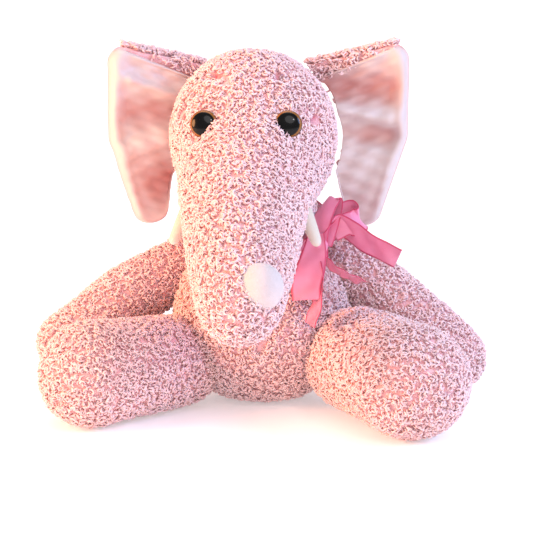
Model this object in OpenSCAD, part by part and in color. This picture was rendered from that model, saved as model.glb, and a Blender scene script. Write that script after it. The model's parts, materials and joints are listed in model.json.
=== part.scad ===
// Seated stuffed elephant with satin-lined ears, felt tusks and a satin neck ribbon.
// Millimetres. The toy faces -Y, +X is the toy's own left, and it sits on the plane z = 0.
// The origin is the middle of the flat of the seat.

/* [Fabric] */
// Thickness of the curly pile fabric
pile_t = 2.5; // [1.5:0.1:3.5]
// Clear gap between a cover and its stuffing
stuff_gap = 0.3; // [0.2:0.05:0.6]
// Clear gap between a moving limb and the fabric it turns in
turn_gap = 0.5; // [0.4:0.1:1]

/* [Body] */
// Radius of the belly
belly_r = 46; // [40:0.5:46]
// Radius of the chest, as a part of the belly's
chest_part = 0.74; // [0.68:0.01:0.86]
// Height of the chest's centre above the belly's, as a part of the belly's radius
chest_rise = 0.413; // [0.35:0.001:0.55]
// How far the weight of the toy flattens the seat
seat_sink = 4; // [2:0.5:8]

/* [Head] */
// Radius of the skull
head_r = 42; // [36:0.5:50]
// Turn of the face towards the toy's right
head_turn = 5; // [-10:1:10]
// Radius of the round neck
neck_r = 30; // [25:0.5:33]
// Depth of the neck's centre below the top of the body
neck_sink = 4; // [2:0.5:8]
// Distance from the skull's centre to the start of the muzzle
muzzle_root = 16; // [12:0.5:20]
// Radius of the muzzle at its root
muzzle_r = 36.5; // [32:0.5:39]
// Slope of the muzzle below level
muzzle_drop = 30; // [20:1:40]

/* [Trunk] */
// Radius of the trunk where it bends from the muzzle
trunk_root_r = 29; // [25:0.5:30]
// Radius of the trunk at its end
trunk_tip_r = 20; // [16:0.5:24]
// Length of the trunk between the centres of its two ends
trunk_len = 63; // [50:1:80]
// Slope of the trunk below level
trunk_drop = 32; // [20:1:40]
// Distance from the skull's surface to the bend
trunk_out = 9; // [6:0.5:14]
// Radius of the velour patch on the end of the trunk
patch_r = 10.5; // [8:0.5:13]
// How far the patch stands out of the trunk
patch_out = 4; // [2:0.5:6]

/* [Ears] */
// Reach of an ear past the skull
ear_w = 35; // [28:1:45]
// Height of an ear's top above the skull's centre
ear_top = 47; // [38:1:56]
// Drop of an ear's lobe below the skull's centre
ear_drop = 43; // [34:1:50]
// Distance of the ears behind the skull's centre
ear_back = 14; // [8:1:20]
// Thickness of the satin lining with its backing
lining_t = 1.2; // [0.8:0.1:2]
// Clear gap between an ear and the skull
ear_gap = 3.4; // [3:0.1:5]
// Forward sweep of the right ear
ear_sweep_right = 30; // [0:1:35]
// Forward sweep of the left ear
ear_sweep_left = 6; // [0:1:35]

/* [Eyes] */
// Radius of an eye's dome
eye_r = 6.6; // [5:0.1:8]
// Distance of the eyes in front of the line where the skull meets the muzzle
eye_out = 0.8; // [0.4:0.1:4]
// Angle of an eye round the muzzle, up from its side
eye_round = 51.5; // [44:0.5:60]
// Radius of an eye's shank
shank_r = 1.9; // [1.5:0.1:2.5]
// Length of an eye's shank
shank_len = 12; // [9:0.5:15]
// Radius of the washer that locks the shank
washer_r = 6; // [5:0.5:8]

/* [Tusks] */
// Radius of a tusk at the cheek
tusk_r = 4.6; // [3:0.1:6]
// Radius of a tusk's round tip
tusk_tip_r = 2.2; // [1.5:0.1:3]
// Length of a tusk between the centres of its two ends
tusk_len = 16; // [12:0.5:22]

/* [Arms] */
// Radius of an arm at the shoulder
arm_r = 15.5; // [12:0.5:18]
// Radius of a hand
hand_r = 17; // [13:0.5:20]
// Length of an arm between the centres of its two ends
arm_len = 68; // [55:1:85]
// How far a shoulder's centre lies inside the belly's width
shoulder_in = 4; // [1:0.5:8]
// Height of the shoulders
shoulder_z = 66; // [58:0.5:70]
// Clear gap between an arm and the leg below it
limb_clear = 0.7; // [0.5:0.1:3]

/* [Legs] */
// Radius of the right leg at the hip
leg_right_r = 23; // [19:0.5:26]
// Radius of the right foot
foot_right_r = 25; // [21:0.5:29]
// Length of the right leg between the centres of its two ends
leg_right_len = 51; // [42:1:62]
// Radius of the left leg at the hip
leg_left_r = 25; // [22:0.5:27]
// Radius of the left foot
foot_left_r = 27; // [22:0.5:30]
// Length of the left leg between the centres of its two ends
leg_left_len = 47; // [40:1:58]
// Clear gap between the feet and the plane the toy sits on
foot_lift = 0.3; // [0.1:0.1:1]

/* [Tail and label] */
// Radius of the tail at the body
tail_r = 4; // [3:0.5:6]
// Length of the tail between the centres of its two ends
tail_len = 24; // [16:1:34]
// Width of the blank sewn-in label
label_w = 10; // [8:1:14]
// Length of the label outside the seam
label_len = 18; // [12:1:26]

/* [Ribbon] */
// Width of the satin ribbon
ribbon_w = 15; // [10:1:18]
// Width of the ribbon where it is gathered round the neck
ribbon_neck_w = 8; // [6:0.5:10]
// Thickness of the ribbon's modelled stretches
ribbon_t = 0.8; // [0.5:0.1:1.2]

/* [Hidden] */
LEFT = 1;
RIGHT = -1;
FINE = 96;
ROUND = 32;
BIG = 400;
SLIVER = 0.2;
TUCK = 0.02;

pink = "pink";
cream = "ivory";
satin = "mistyrose";
fibre = "white";
rose = "palevioletred";

// Body: a round belly and a round chest above it, cut flat under the seat
belly_z = belly_r - seat_sink;
chest_r = belly_r * chest_part;
chest_up = belly_r * chest_rise;
body_top = belly_z + chest_up + chest_r;

// Neck and head
neck_mid = [-2, -6, body_top - neck_sink];
neck_to_head = [-2, -14, head_r];
head_mid = neck_mid + neck_to_head;
bend_dist = head_r + trunk_out;
muzzle_end_r = trunk_root_r + pile_t - turn_gap;
muzzle_cut = 6;
muzzle_lean = (muzzle_r - muzzle_end_r) / (bend_dist - muzzle_root);
muzzle_dir = [0, -cos(muzzle_drop), -sin(muzzle_drop)];
muzzle_up = [0, -sin(muzzle_drop), cos(muzzle_drop)];

// Trunk, in the head's frame
trunk_side = 3;
bend = bend_dist * muzzle_dir;
trunk_tip = bend + [
    trunk_side,
    -trunk_len * cos(trunk_drop),
    -trunk_len * sin(trunk_drop)
];
patch_dir = [0.5, -0.75, 0.43];
patch_in = trunk_tip_r + patch_out - patch_r;
patch_gap = 0.5;

// Tusks, in the head's frame: the left one, which the right one mirrors
tusk_root = [26.5, -42, -33];
tusk_dir = [7, -6, -13];
tusk_trunk_gap = 3;

// Ears, in the head's frame
ear_corner_r = 7;
ear_join_r = 3.5;
ear_low_corner_z = 2;
ear_lobe_in = 14;
ear_lobe_r = 9;
ear_section_r = sqrt(head_r * head_r - ear_back * ear_back);
ear_hinge_r = ear_section_r + ear_gap;
ear_root_top = 128;
ear_root_low = 200;
ear_hinge_top = ear_hinge_r * [cos(ear_root_top), sin(ear_root_top)];
ear_hinge_low = ear_hinge_r * [cos(ear_root_low), sin(ear_root_low)];
ear_tip_x = -(ear_section_r + ear_w - ear_corner_r);
ear_lobe_x = ear_tip_x + ear_lobe_in;

// Eyes: seated square to the slope of the muzzle, just in front of the skull.
// The skull and the muzzle's slope have the same radius at the distance skull_end.
muzzle_apex_r = muzzle_r + muzzle_root * muzzle_lean;
muzzle_skew = 1 + muzzle_lean * muzzle_lean;
skull_end = (
    muzzle_apex_r * muzzle_lean
    + sqrt(muzzle_skew * head_r * head_r - muzzle_apex_r * muzzle_apex_r)
) / muzzle_skew;
eye_along = skull_end + eye_out;
eye_seat = muzzle_r - (eye_along - muzzle_root) * muzzle_lean;
eye_ball_r = eye_r + 0.4;
eye_base_r = eye_r - 1.3;
eye_base_t = 1.2;
eye_fit = 0.1;
eye_dome_sink = 2;
shank_gap = 0.2;
washer_t = 1.3;
washer_fit = 0.05;
washer_drop = pile_t + 1.9;

// Legs: the hips lie a little higher than the feet, inside the belly's width
hip_right_in = 4;
hip_right_rise = 0.7;
hip_left_rise = 1.7;
hip_right = [-(belly_r - hip_right_in), -22, leg_right_r + foot_lift + hip_right_rise];
hip_left = [belly_r, -34, leg_left_r + foot_lift + hip_left_rise];
leg_right_dir = unit([-38, -34, foot_right_r + foot_lift - hip_right.z]);
leg_left_dir = unit([22, -42, foot_left_r + foot_lift - hip_left.z]);

// Arms: the shoulders lie back far enough for the arm to clear the leg
arm_right_dir = unit([-53, -18, -35]);
arm_left_dir = unit([54, -18, -45]);
arm_left_tuck = 1.5;
shoulder_right = clear_shoulder(
    [-(belly_r - shoulder_in), 0, shoulder_z], arm_right_dir, hip_right,
    max(arm_r, hand_r) + max(leg_right_r, foot_right_r) + limb_clear
);
shoulder_left = clear_shoulder(
    [belly_r - shoulder_in, 0, shoulder_z], arm_left_dir, hip_left,
    max(arm_r, hand_r) + max(leg_left_r, foot_left_r) + limb_clear - arm_left_tuck
);

// Tail and label, on the back of the body
tail_z = 21;
tail_tip_r = tail_r + 0.8;
tail_dir = unit([0, 18, -14]);
tail_gap = 0.9;
tail_root = [0, body_back(0, tail_z) + tail_r + tail_gap, tail_z];
label_x = 20;
label_z = 16;
label_t = 0.5;

// Pouch of pellets in the seat
pouch_size = [22, 22, 11];
pouch_y = 4;
pouch_lift = 1;

// Ribbon: a band square to the line from the neck to the head, and a bow beside it
ribbon_gap = 4.3;
band_low = -6;
knot = neck_mid + [36, -19, 0];
knot_r = 4.6;
bow_w = ribbon_w * 0.6;
loop_r = 8;
tail_side_len = 36;
tail_down_len = 26;

// The vector v made one unit long
function unit(v) = v / norm(v);

// Where the back of the belly is, at a distance x from its middle and a height z
function body_back(x, z) = sqrt(belly_r * belly_r - x * x - (z - belly_z) * (z - belly_z));

// The shoulder, moved back until the line along dir passes the hip at the distance clear
function clear_shoulder(shoulder, dir, hip, clear) = let (
    away = hip - shoulder,
    off = away - (away * dir) * dir,
    step = [0, 1, 0] - dir.y * dir,
    a = step * step,
    b = off * step,
    c = off * off - clear * clear
) shoulder + [0, (b + sqrt(b * b - a * c)) / a, 0];

// ---- Building blocks ----

// Puts the children's +Z along dir, from the point at
module along(at, dir) {
    flat = norm([dir.x, dir.y]);
    translate(at)
        rotate([0, atan2(flat, dir.z), atan2(dir.y, dir.x)])
            children();
}

// Turns the children about a line through the point at
module turn(angle, at, axis) {
    translate(at)
        rotate(angle, axis)
            translate(-at)
                children();
}

// Puts the children in the head's frame
module in_head() {
    translate(head_mid)
        rotate([0, 0, -head_turn])
            children();
}

// The straight side between a round end at the height low and one at the height high.
// It lies a hair inside the line that touches both, so that it crosses them cleanly.
module side_outline(low, high, root, tip, lean) {
    wide = sqrt(1 - lean * lean);
    root_in = root - TUCK;
    tip_in = tip - TUCK;
    polygon([
        [0, low + lean * root_in],
        [wide * root_in, low + lean * root_in],
        [wide * tip_in, high + lean * tip_in],
        [0, high + lean * tip_in]
    ]);
}

// Half outline of a limb: two round ends and the straight side between them
module limb_outline(len, root_r, tip_r, inset) {
    lean = (root_r - tip_r) / len;
    root = root_r - inset;
    tip = tip_r - inset;
    intersection() {
        union() {
            circle(r = root, $fn = FINE);
            translate([0, len])
                circle(r = tip, $fn = FINE);
            side_outline(0, len, root, tip, lean);
        }
        translate([0, -BIG / 2])
            square([BIG, BIG]);
    }
}

// A limb as a solid of revolution, drawn in by inset, or let out where it is negative
module limb(at, dir, len, root_r, tip_r, inset = 0) {
    along(at, dir)
        rotate_extrude($fn = FINE)
            limb_outline(len, root_r, tip_r, inset);
}

module arm(side, inset = 0) {
    if (side == LEFT) limb(shoulder_left, arm_left_dir, arm_len, arm_r, hand_r, inset);
    else limb(shoulder_right, arm_right_dir, arm_len, arm_r, hand_r, inset);
}

module leg(side, inset = 0) {
    if (side == LEFT) limb(hip_left, leg_left_dir, leg_left_len, leg_left_r, foot_left_r, inset);
    else limb(hip_right, leg_right_dir, leg_right_len, leg_right_r, foot_right_r, inset);
}

module trunk(inset = 0) {
    in_head()
        limb(bend, unit(trunk_tip - bend), trunk_len, trunk_root_r, trunk_tip_r, inset);
}

// The upright hollow that a leg's root turns in as the leg swings
module hip_room(side, grow) {
    hip = side == LEFT ? hip_left : hip_right;
    room_r = (side == LEFT ? leg_left_r : leg_right_r) + grow;
    translate([hip.x, hip.y, -SLIVER])
        cylinder(r = room_r, h = hip.z + room_r + SLIVER, $fn = FINE);
}

// ---- Shapes that a cover and its stuffing share, drawn in by inset ----

module body_shape(inset) {
    difference() {
        limb([0, 0, belly_z], [0, 0, 1], chest_up, belly_r, chest_r, inset);
        translate([0, 0, inset - BIG / 2])
            cube(BIG, center = true);
        translate(neck_mid)
            sphere(r = neck_r + turn_gap + inset, $fn = FINE);
        for (side = [LEFT, RIGHT]) {
            arm(side, -turn_gap - inset);
            hip_room(side, turn_gap + inset);
        }
    }
}

// Half outline of the skull and muzzle, along the muzzle's line
module head_outline(inset) {
    root = muzzle_r - inset;
    tip = muzzle_end_r - inset;
    difference() {
        intersection() {
            union() {
                circle(r = head_r - inset, $fn = FINE);
                translate([0, muzzle_root])
                    circle(r = root, $fn = FINE);
                side_outline(muzzle_root, bend_dist, root, tip, muzzle_lean);
            }
            translate([0, -BIG / 2])
                square([BIG, BIG / 2 + bend_dist - muzzle_cut - inset]);
        }
        translate([0, bend_dist])
            circle(r = trunk_root_r + turn_gap + inset, $fn = FINE);
    }
}

module head_shape(inset) {
    in_head()
        along([0, 0, 0], muzzle_dir)
            rotate_extrude($fn = FINE)
                head_outline(inset);
    translate(neck_mid)
        sphere(r = neck_r - inset, $fn = FINE);
}

// Puts the children on an eye's seat, with +Z out of the face
module at_eye(side) {
    across = [side * cos(eye_round), 0, 0] + sin(eye_round) * muzzle_up;
    dir = muzzle_lean * muzzle_dir + sqrt(1 - muzzle_lean * muzzle_lean) * across;
    in_head()
        along(eye_along * muzzle_dir + eye_seat * dir, dir)
            children();
}

// The room for an eye's shank and, past the fabric, its washer
module eye_room(side, washer) {
    at_eye(side) {
        translate([0, 0, -shank_len - 1])
            cylinder(r = shank_r + shank_gap, h = shank_len + 6, $fn = FINE);
        if (washer)
            translate([0, 0, -washer_drop - washer_t - stuff_gap])
                cylinder(r = washer_r + stuff_gap, h = washer_drop + washer_t + 6, $fn = FINE);
    }
}

// The outline of the right ear, seen from the front
module ear_outline() {
    difference() {
        hull() {
            translate(ear_hinge_top)
                circle(r = ear_join_r, $fn = ROUND);
            translate([ear_tip_x, ear_top - ear_corner_r])
                circle(r = ear_corner_r, $fn = ROUND);
            translate([ear_tip_x, ear_low_corner_z])
                circle(r = ear_corner_r, $fn = ROUND);
            translate([ear_lobe_x, ear_lobe_r - ear_drop])
                circle(r = ear_lobe_r, $fn = ROUND);
        }
        circle(r = ear_hinge_r, $fn = FINE);
    }
}

// One layer of an ear, from the depth y0 to y1, swept forward about its root
module ear_layer(side, y0, y1) {
    sweep = side == LEFT ? ear_sweep_left : ear_sweep_right;
    at = [ear_hinge_low.x, ear_back, ear_hinge_low.y];
    axis = [ear_hinge_top.x - ear_hinge_low.x, 0, ear_hinge_top.y - ear_hinge_low.y];
    in_head()
        mirror([side == LEFT ? 1 : 0, 0, 0])
            turn(sweep, at, axis)
                translate([0, y1, 0])
                    rotate([90, 0, 0])
                        linear_extrude(y1 - y0)
                            ear_outline();
}

// ---- Sub-parts ----

module body_cover() {
    color(pink)
        difference() {
            body_shape(0);
            body_shape(pile_t);
        }
}

// The pouch's own room is the same shape, let out by grow
module bean_pouch(grow) {
    translate([0, pouch_y, pouch_size.z + pile_t + 2 * stuff_gap + pouch_lift])
        scale(pouch_size + [grow, grow, grow])
            sphere(r = 1, $fn = FINE);
}

module seat_bean_pouch() {
    color("beige")
        bean_pouch(0);
}

module body_stuffing() {
    color(fibre)
        difference() {
            body_shape(pile_t + stuff_gap);
            bean_pouch(stuff_gap);
        }
}

module head_cover() {
    color(pink)
        difference() {
            head_shape(0);
            head_shape(pile_t);
            for (side = [LEFT, RIGHT])
                eye_room(side, false);
        }
}

module head_stuffing() {
    color(fibre)
        difference() {
            head_shape(pile_t + stuff_gap);
            for (side = [LEFT, RIGHT])
                eye_room(side, true);
        }
}

module trunk_cover() {
    color(pink)
        difference() {
            trunk();
            trunk(pile_t);
        }
}

module trunk_stuffing() {
    color(fibre)
        trunk(pile_t + stuff_gap);
}

module trunk_tip_patch() {
    color(cream)
        difference() {
            in_head()
                translate(trunk_tip + patch_in * unit(patch_dir))
                    sphere(r = patch_r, $fn = FINE);
            in_head()
                translate(trunk_tip)
                    sphere(r = trunk_tip_r + patch_gap, $fn = FINE);
        }
}

// A felt cone whose root is cut to the cheek
module tusk(side) {
    root = [side * tusk_root.x, tusk_root.y, tusk_root.z];
    dir = unit([side * tusk_dir.x, tusk_dir.y, tusk_dir.z]);
    color(cream)
        difference() {
            in_head()
                limb(root, dir, tusk_len, tusk_r, tusk_tip_r);
            head_shape(-SLIVER);
            trunk(-tusk_trunk_gap);
        }
}

module ear_back(side) {
    color(pink)
        ear_layer(side, ear_back + lining_t + SLIVER, ear_back + lining_t + SLIVER + pile_t);
}

module ear_lining(side) {
    color(satin)
        ear_layer(side, ear_back, ear_back + lining_t);
}

module eye_base(side) {
    color("black")
        at_eye(side) {
            translate([0, 0, SLIVER])
                cylinder(r = eye_base_r, h = eye_base_t, $fn = FINE);
            translate([0, 0, SLIVER - shank_len])
                cylinder(r = shank_r, h = shank_len, $fn = FINE);
        }
}

// A shallow amber dome that caps the base
module eye_dome(side) {
    color("saddlebrown")
        at_eye(side)
            difference() {
                translate([0, 0, -eye_dome_sink])
                    sphere(r = eye_ball_r, $fn = FINE);
                translate([0, 0, SLIVER - BIG / 2])
                    cube(BIG, center = true);
                cylinder(r = eye_base_r + eye_fit, h = SLIVER + eye_base_t + eye_fit, $fn = FINE);
            }
}

module eye_washer(side) {
    color("white")
        at_eye(side)
            translate([0, 0, -washer_drop - washer_t])
                difference() {
                    cylinder(r = washer_r, h = washer_t, $fn = FINE);
                    translate([0, 0, -1])
                        cylinder(r = shank_r + washer_fit, h = washer_t + 2, $fn = FINE);
                }
}

module arm_cover(side) {
    color(pink)
        difference() {
            arm(side);
            arm(side, pile_t);
        }
}

module arm_stuffing(side) {
    color(fibre)
        arm(side, pile_t + stuff_gap);
}

module leg_cover(side) {
    color(pink)
        difference() {
            leg(side);
            leg(side, pile_t);
        }
}

module leg_stuffing(side) {
    color(fibre)
        leg(side, pile_t + stuff_gap);
}

module tail() {
    color(pink)
        limb(tail_root, tail_dir, tail_len, tail_r, tail_tip_r);
}

module care_label() {
    root = body_back(label_x - label_w / 2, label_z + label_t) + SLIVER;
    color("white")
        translate([label_x - label_w / 2, root, label_z])
            cube([label_w, label_len, label_t]);
}

// The gathered band, a ring round the line from the neck to the head
module neck_ribbon() {
    inner = neck_r + ribbon_gap;
    color(rose)
        along(neck_mid, unit(neck_to_head))
            translate([0, 0, band_low])
                rotate_extrude($fn = FINE)
                    translate([inner, 0])
                        square([ribbon_t, ribbon_neck_w]);
}

// One loop of the bow: a round turn of ribbon that leaves the knot along dir
module bow_loop(dir) {
    along(knot, dir)
        translate([0, 0, loop_r + knot_r - 1])
            rotate([90, 0, 0])
                difference() {
                    cylinder(r = loop_r, h = bow_w, center = true, $fn = FINE);
                    cylinder(r = loop_r - ribbon_t, h = bow_w + 1, center = true, $fn = FINE);
                }
}

// One tail of the bow: a flat length that leaves the knot along dir
module bow_tail(dir, len) {
    along(knot, dir)
        translate([-ribbon_t / 2, -bow_w / 2, knot_r - 1])
            cube([ribbon_t, bow_w, len]);
}

module ribbon_bow() {
    color(rose)
        union() {
            translate(knot)
                sphere(r = knot_r, $fn = FINE);
            bow_loop(unit([8, -3, 17]));
            bow_loop(unit([20, -4, -1]));
            bow_tail(unit([30, -3, -13]), tail_side_len);
            bow_tail(unit([-6, -12, -22]), tail_down_len);
        }
}

body_cover();
body_stuffing();
seat_bean_pouch();
head_cover();
head_stuffing();
trunk_cover();
trunk_stuffing();
trunk_tip_patch();
tusk(LEFT);  // tusk_left
tusk(RIGHT);  // tusk_right
ear_back(LEFT);  // ear_left_back
ear_lining(LEFT);  // ear_left_lining
ear_back(RIGHT);  // ear_right_back
ear_lining(RIGHT);  // ear_right_lining
eye_dome(LEFT);  // eye_left_dome
eye_dome(RIGHT);  // eye_right_dome
eye_base(LEFT);  // eye_left_base
eye_base(RIGHT);  // eye_right_base
eye_washer(LEFT);  // eye_left_washer
eye_washer(RIGHT);  // eye_right_washer
arm_cover(LEFT);  // arm_left_cover
arm_stuffing(LEFT);  // arm_left_stuffing
arm_cover(RIGHT);  // arm_right_cover
arm_stuffing(RIGHT);  // arm_right_stuffing
leg_cover(LEFT);  // leg_left_cover
leg_stuffing(LEFT);  // leg_left_stuffing
leg_cover(RIGHT);  // leg_right_cover
leg_stuffing(RIGHT);  // leg_right_stuffing
tail();
care_label();
neck_ribbon();
ribbon_bow();
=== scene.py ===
# %% [markdown]
# # A seated plush elephant
#
# The toy is a set of sewn and stuffed bags of curly pile fabric, with satin in its ears, a satin ribbon at
# its neck, two glass-like eyes, felt tusks and a velour nub on the end of its trunk. We work in metres, in
# the frame of the imported model. The bags go where the model has them. The eyes and the bow are placed near
# theirs.

import json
import bpy
import numpy as np
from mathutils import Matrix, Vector


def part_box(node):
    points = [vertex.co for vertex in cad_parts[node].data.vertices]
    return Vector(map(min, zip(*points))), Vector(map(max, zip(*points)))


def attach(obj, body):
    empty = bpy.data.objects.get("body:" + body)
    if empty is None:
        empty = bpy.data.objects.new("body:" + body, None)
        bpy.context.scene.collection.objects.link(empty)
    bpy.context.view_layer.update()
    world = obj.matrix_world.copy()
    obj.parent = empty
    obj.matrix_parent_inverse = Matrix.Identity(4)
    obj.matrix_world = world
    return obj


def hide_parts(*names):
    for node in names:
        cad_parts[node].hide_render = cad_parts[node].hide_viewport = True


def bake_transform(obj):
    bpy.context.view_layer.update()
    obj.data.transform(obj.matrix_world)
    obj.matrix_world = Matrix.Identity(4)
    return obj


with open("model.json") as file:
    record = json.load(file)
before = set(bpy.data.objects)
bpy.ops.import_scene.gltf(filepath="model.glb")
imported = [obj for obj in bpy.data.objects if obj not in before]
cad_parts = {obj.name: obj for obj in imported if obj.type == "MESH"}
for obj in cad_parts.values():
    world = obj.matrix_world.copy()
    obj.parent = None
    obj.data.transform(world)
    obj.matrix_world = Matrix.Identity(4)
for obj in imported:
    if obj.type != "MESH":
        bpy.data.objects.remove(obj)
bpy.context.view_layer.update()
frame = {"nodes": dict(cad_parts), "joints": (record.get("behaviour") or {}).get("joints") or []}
MM = 0.001
UP = np.array([0.0, 0.0, 1.0])
PIVOT = {joint["name"]: np.array(joint["pos_m"]) for joint in frame["joints"]}


def box(node):
    """The lowest and the highest corner of a node of the model, as arrays."""
    low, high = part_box(node)
    return np.array(low), np.array(high)


# %% [markdown]
# ## Meshes from arrays
#
# Each surface is a grid of points worked out by a formula, one row of the grid after
# another. Two helpers turn such a grid into a mesh: one for an open sheet, and one for
# a bag that is closed at both ends. We smooth the shading of every face, because cloth
# has no facets.


# %% Mesh helpers
def unit(v):
    """Vectors made one unit long, along the last axis."""
    v = np.asarray(v, float)
    return v / np.maximum(np.linalg.norm(v, axis=-1, keepdims=True), 1e-12)


def put_mesh(name, points, faces, material=None):
    """An object whose mesh has these points (n, 3) and these faces, all smooth."""
    mesh = bpy.data.meshes.new(name)
    mesh.from_pydata(points.tolist(), [], faces)
    mesh.polygons.foreach_set("use_smooth", np.ones(len(mesh.polygons), bool))
    mesh.update()
    obj = bpy.data.objects.new(name, mesh)
    bpy.context.scene.collection.objects.link(obj)
    if material:
        mesh.materials.append(material)
    return obj


def store(obj, name, values):
    """Keeps a number for each point of the object's mesh."""
    made = obj.data.attributes.new(name, "FLOAT", "POINT")
    made.data.foreach_set("value", np.asarray(values, np.float32).ravel())


def points_of(obj):
    """The points (n, 3) of the object's mesh."""
    co = np.zeros(len(obj.data.vertices) * 3, np.float32)
    obj.data.vertices.foreach_get("co", co)
    return co.reshape(-1, 3).astype(float)


def map_cloth(obj, uv):
    """A flat map named cloth, from a place (n, 2) for each point of the object's mesh."""
    loops = np.zeros(len(obj.data.loops), np.int32)
    obj.data.loops.foreach_get("vertex_index", loops)
    obj.data.uv_layers.new(name="cloth").data.foreach_set("uv", uv[loops].astype(np.float32).ravel())


def sheet_faces(rows, cols):
    """Four-sided faces of a grid of rows by cols points."""
    k = np.arange(rows * cols).reshape(rows, cols)
    corners = [k[:-1, :-1], k[:-1, 1:], k[1:, 1:], k[1:, :-1]]
    return np.stack(corners, -1).reshape(-1, 4)


def bag_faces(rings, around):
    """Faces of rings closed round, with one point at each end, all facing outwards."""
    k = 1 + np.arange((rings - 2) * around).reshape(rings - 2, around)
    nxt = np.roll(k, -1, 1)
    quads = np.stack([k[:-1], nxt[:-1], nxt[1:], k[1:]], -1).reshape(-1, 4)
    last = 1 + (rings - 2) * around
    first_fan = np.stack([np.zeros(around, int), nxt[0], k[0]], -1)
    last_fan = np.stack([np.full(around, last), k[-1], nxt[-1]], -1)
    return quads.tolist() + first_fan.tolist() + last_fan.tolist()


def bag_points(grid):
    """The points of rings (rings, around, 3), with the first and last ring made one point."""
    ends = grid[0].mean(0, keepdims=True), grid[-1].mean(0, keepdims=True)
    return np.concatenate([ends[0], grid[1:-1].reshape(-1, 3), ends[1]])


def put_bag(name, grid, material=None):
    """A closed bag from rings of points. Its outward side is checked by its volume."""
    points, faces = bag_points(grid), bag_faces(*grid.shape[:2])
    tri = np.array([f[:3] for f in faces])
    a, b, c = (points[tri[:, i]] - points.mean(0) for i in range(3))
    if np.sum(a * np.cross(b, c)) < 0:
        faces = [f[::-1] for f in faces]
    return put_mesh(name, points, faces, material)


# %% [markdown]
# ## Materials
#
# A material is a small program of nodes. We wrap a socket in a class, so that we can
# write ordinary sums such as `1 - mask`, and make any other node with one method. The
# pattern of a material reads either the object's own coordinates or a value that we
# store on the points of its mesh.


# %% Shader wires
class Wire:
    """An output socket, with the signs of arithmetic made of Math nodes."""

    def __init__(self, tree, socket=None):
        self.tree, self.socket = tree, socket

    def node(self, kind, settings=(), out=0, **sockets):
        """Any node: its type, its settings, then its sockets by name or s0, s1 by number."""
        made = self.tree.nodes.new(kind)
        for key, value in dict(settings).items():
            setattr(made, key, value)
        for key, value in sockets.items():
            numbered = key[0] == "s" and key[1:].isdigit()
            target = made.inputs[int(key[1:]) if numbered else key.replace("_", " ")]
            if isinstance(value, Wire):
                self.tree.links.new(value.socket, target)
            else:
                target.default_value = value
        return Wire(self.tree, made.outputs[out])

    def math(self, operation, a, b=0.0):
        return self.node("ShaderNodeMath", {"operation": operation}, s0=a, s1=b)

    def __add__(self, other):
        return self.math("ADD", self, other)

    def __sub__(self, other):
        return self.math("SUBTRACT", self, other)

    def __mul__(self, other):
        return self.math("MULTIPLY", self, other)

    def __truediv__(self, other):
        return self.math("DIVIDE", self, other)

    def __pow__(self, other):
        return self.math("POWER", self, other)

    def __rsub__(self, other):
        return self.math("SUBTRACT", other, self)

    def __rtruediv__(self, other):
        return self.math("DIVIDE", other, self)

    __radd__, __rmul__ = __add__, __mul__

    def clamp(self):
        return self.node("ShaderNodeClamp", s0=self)

    def step(self, low, high):
        """0 below low, 1 above high, and a smooth rise between."""
        settings = {"interpolation_type": "SMOOTHSTEP"}
        return self.node("ShaderNodeMapRange", settings, s0=self, s1=low, s2=high)

    def mix(self, low, high):
        """The colour low where this is 0, and high where it is 1."""
        return self.node("ShaderNodeMix", {"data_type": "RGBA"}, 2, s0=self, s6=low, s7=high)


def finish_of(name, paint, **fixed):
    """A material whose shader has the fixed values, and what paint(start) returns: wires by socket."""
    made = bpy.data.materials.new(name)
    made.use_nodes = True
    tree = made.node_tree
    shader = tree.nodes["Principled BSDF"]
    for key, value in fixed.items():
        shader.inputs[key.replace("_", " ")].default_value = value
    for key, wire in paint(Wire(tree)).items():
        tree.links.new(wire.socket, shader.inputs[key.replace("_", " ")])
    return made


def place_of(start):
    """The object's own coordinates."""
    return start.node("ShaderNodeTexCoord", out=3)


def noise(start, where, scale, detail=2.0, rough=0.5):
    """A soft random pattern, from 0 to 1, with the given number of lumps a metre."""
    return start.node("ShaderNodeTexNoise", Vector=where, Scale=scale, Detail=detail, Roughness=rough)


def bump(start, height, strength, distance):
    return start.node("ShaderNodeBump", Height=height, Strength=strength, Distance=distance)


def stored(start, name):
    """A number that the mesh keeps on its points."""
    return start.node("ShaderNodeAttribute", {"attribute_name": name}, 2)


# %% [markdown]
# ## The colours of the fabrics
#
# The pile is a pale pink yarn on a deeper pink ground, so the gaps between its curls look darker and redder
# than their tips; each curl is also painted a little darker and redder towards its root, as painted shade in
# those gaps. Each curl also has its own slight tint. The ground below is woven, with a rough bump, and along
# the creases round the eyes it is painted dark red, as painted shade in the grooves. Both have a soft sheen,
# as brushed yarn has.


# %% Plush
def rgb(r, g, b):
    """A colour given as the eye sees it, from 0 to 255, turned into light for the shader."""
    c = np.array([r, g, b]) / 255
    light = np.where(c <= 0.04045, c / 12.92, ((c + 0.055) / 1.055) ** 2.4)
    return (*light.tolist(), 1.0)


def paint_pile(start):
    lift, tint = stored(start, "lift"), stored(start, "tint")
    patch = noise(start, place_of(start), 55, 2)
    pale = (tint * 0.5 + patch * 0.7 - 0.1).clamp().mix(rgb(248, 204, 206), rgb(253, 222, 221))
    # Painted shade: each curl is a little darker and redder near its root, towards the gaps between the
    # curls.
    return {"Base_Color": lift.step(0.0, 0.4).mix(rgb(250, 200, 203), pale)}


def paint_ground(start):
    where = place_of(start)
    knots = noise(start, where, 900, 3)
    colour = knots.step(0.35, 0.7).mix(rgb(247, 186, 190), rgb(250, 204, 205))
    # Painted shade: along the creases round the eyes the ground is painted dark red, for the shade in the
    # grooves.
    crease_shade = stored(start, "crease_shade").clamp()
    return {"Base_Color": crease_shade.mix(colour, rgb(204, 84, 106)), "Normal": bump(start, knots, 0.8, 0.0008)}


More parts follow.
